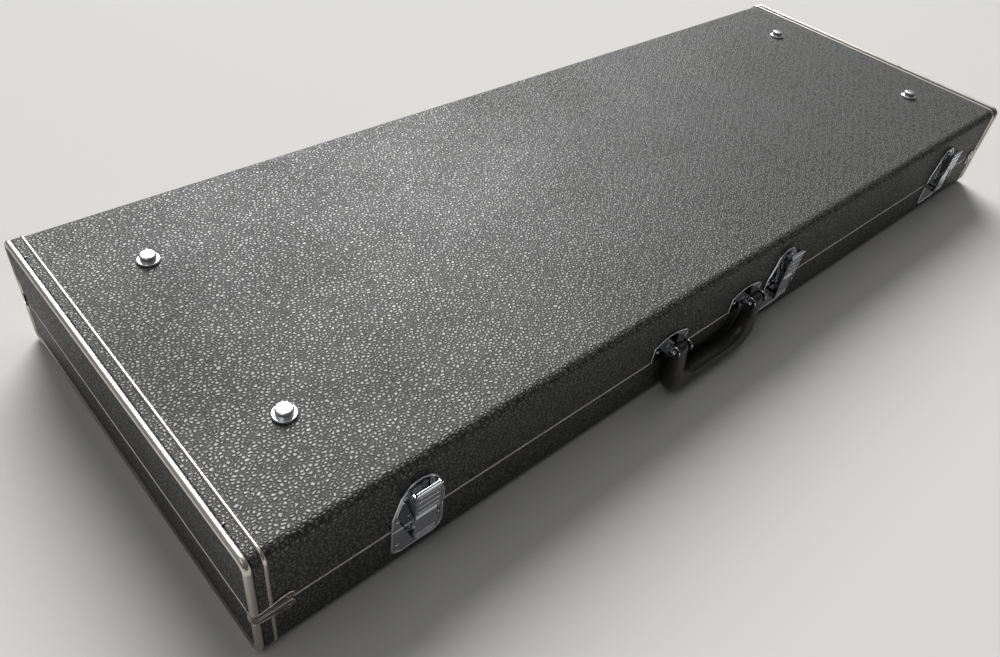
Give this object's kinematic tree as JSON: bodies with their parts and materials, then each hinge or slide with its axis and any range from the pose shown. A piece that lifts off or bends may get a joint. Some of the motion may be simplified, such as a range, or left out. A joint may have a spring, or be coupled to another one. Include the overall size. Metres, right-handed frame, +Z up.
{
  "type": "guitar case",
  "caption": "Long rectangular hard case for a hollow body guitar, in black leatherette with metal bindings, draw latches, a swinging handle, domed feet and a hinged lid.",
  "frame": {"origin": "centre of the lid's outer face, which lies on the floor", "axes": "+X along the case, -Y towards the handle and latches, +Z up towards the feet"},
  "size_m": [1.1332, 0.4289, 0.1211],
  "materials": {
    "plywood": "raw",
    "black_leatherette": "pebbled",
    "aluminium_rim": "satin",
    "nickel": "polished",
    "chrome": "polished",
    "black_moulding": "satin",
    "plush": "soft",
    "plush_board": "soft",
    "pull_ribbon": "woven"
  },
  "bodies": {
    "lid": {"lid_panel": "plywood", "lid_front_wall": "plywood", "lid_back_wall": "plywood", "lid_near_wall": "plywood", "lid_far_wall": "plywood", "lid_rim": "aluminium_rim", "lid_covering": "black_leatherette", "lid_outer_bindings": "nickel", "lid_inner_bindings": "nickel", "lid_end_strips": "black_leatherette", "lid_corner_clips": "chrome", "lid_clip_rivets": "chrome", "lid_padding": "plush", "hinge_lid_leaves": "nickel", "hinge_lid_rivets": "nickel", "hinge_pins": "nickel", "near_catch_plate": "chrome", "middle_catch_plate": "chrome", "far_catch_plate": "chrome", "catch_plate_rivets": "chrome"},
    "base": {"base_panel": "plywood", "base_front_wall": "plywood", "base_back_wall": "plywood", "base_near_wall": "plywood", "base_far_wall": "plywood", "base_rim": "aluminium_rim", "base_covering": "black_leatherette", "base_outer_bindings": "nickel", "base_inner_bindings": "nickel", "base_end_strips": "black_leatherette", "base_corner_clips": "chrome", "base_clip_rivets": "chrome", "base_padding": "plush", "hinge_base_leaves": "nickel", "hinge_base_rivets": "nickel", "feet": "chrome", "foot_nails": "chrome", "handle_brackets": "chrome", "handle_pins": "chrome", "handle_rivets": "chrome", "latch_lever_pins": "chrome", "latch_plate_rivets": "chrome", "near_latch_plate": "chrome", "middle_latch_plate": "chrome", "far_latch_plate": "chrome", "body_nest": "plush", "neck_cradle": "plush", "compartment_tray": "plush_board"},
    "handle": {"handle_grip": "black_moulding"},
    "near_lever": {"near_latch_lever": "chrome", "near_hasp_pin": "chrome"},
    "near_hasp": {"near_hasp": "chrome"},
    "middle_lever": {"middle_latch_lever": "chrome", "middle_hasp_pin": "chrome"},
    "middle_hasp": {"middle_hasp": "chrome"},
    "far_lever": {"far_latch_lever": "chrome", "far_hasp_pin": "chrome"},
    "far_hasp": {"far_hasp": "chrome"},
    "compartment_flap": {"compartment_flap": "plush_board", "flap_pull_tab": "pull_ribbon"}
  },
  "joints": [
    {"name": "case_hinge", "type": "hinge", "parent": "lid", "child": "base", "pos_m": [0, 0.2039, 0.0484], "axis": [-1, 0, 0], "range_deg": [0, 95]},
    {"name": "handle_swing", "type": "hinge", "parent": "base", "child": "handle", "pos_m": [-0.07, -0.2125, 0.065], "axis": [-1, 0, 0], "range_deg": [0, 168]},
    {"name": "near_latch_lever_swing", "type": "hinge", "parent": "base", "child": "near_lever", "pos_m": [-0.429, -0.2075, 0.0549], "axis": [1, 0, 0], "range_deg": [0, 110]},
    {"name": "near_hasp_swing", "type": "hinge", "parent": "near_lever", "child": "near_hasp", "pos_m": [-0.429, -0.207, 0.0639], "axis": [1, 0, 0], "range_deg": [-110, 0]},
    {"name": "middle_latch_lever_swing", "type": "hinge", "parent": "base", "child": "middle_lever", "pos_m": [0.055, -0.2075, 0.0549], "axis": [1, 0, 0], "range_deg": [0, 110]},
    {"name": "middle_hasp_swing", "type": "hinge", "parent": "middle_lever", "child": "middle_hasp", "pos_m": [0.055, -0.207, 0.0639], "axis": [1, 0, 0], "range_deg": [-110, 0]},
    {"name": "far_latch_lever_swing", "type": "hinge", "parent": "base", "child": "far_lever", "pos_m": [0.433, -0.2075, 0.0549], "axis": [1, 0, 0], "range_deg": [0, 110]},
    {"name": "far_hasp_swing", "type": "hinge", "parent": "far_lever", "child": "far_hasp", "pos_m": [0.433, -0.207, 0.0639], "axis": [1, 0, 0], "range_deg": [-110, 0]},
    {"name": "compartment_flap_swing", "type": "hinge", "parent": "base", "child": "compartment_flap", "pos_m": [0.195, -0.1814, 0.0736], "axis": [-1, 0, 0], "range_deg": [0, 90]}
  ],
  "couplings": [
    {"joint": "near_hasp_swing", "follows": "near_latch_lever_swing", "ratio": -1},
    {"joint": "middle_hasp_swing", "follows": "middle_latch_lever_swing", "ratio": -1},
    {"joint": "far_hasp_swing", "follows": "far_latch_lever_swing", "ratio": -1}
  ]
}
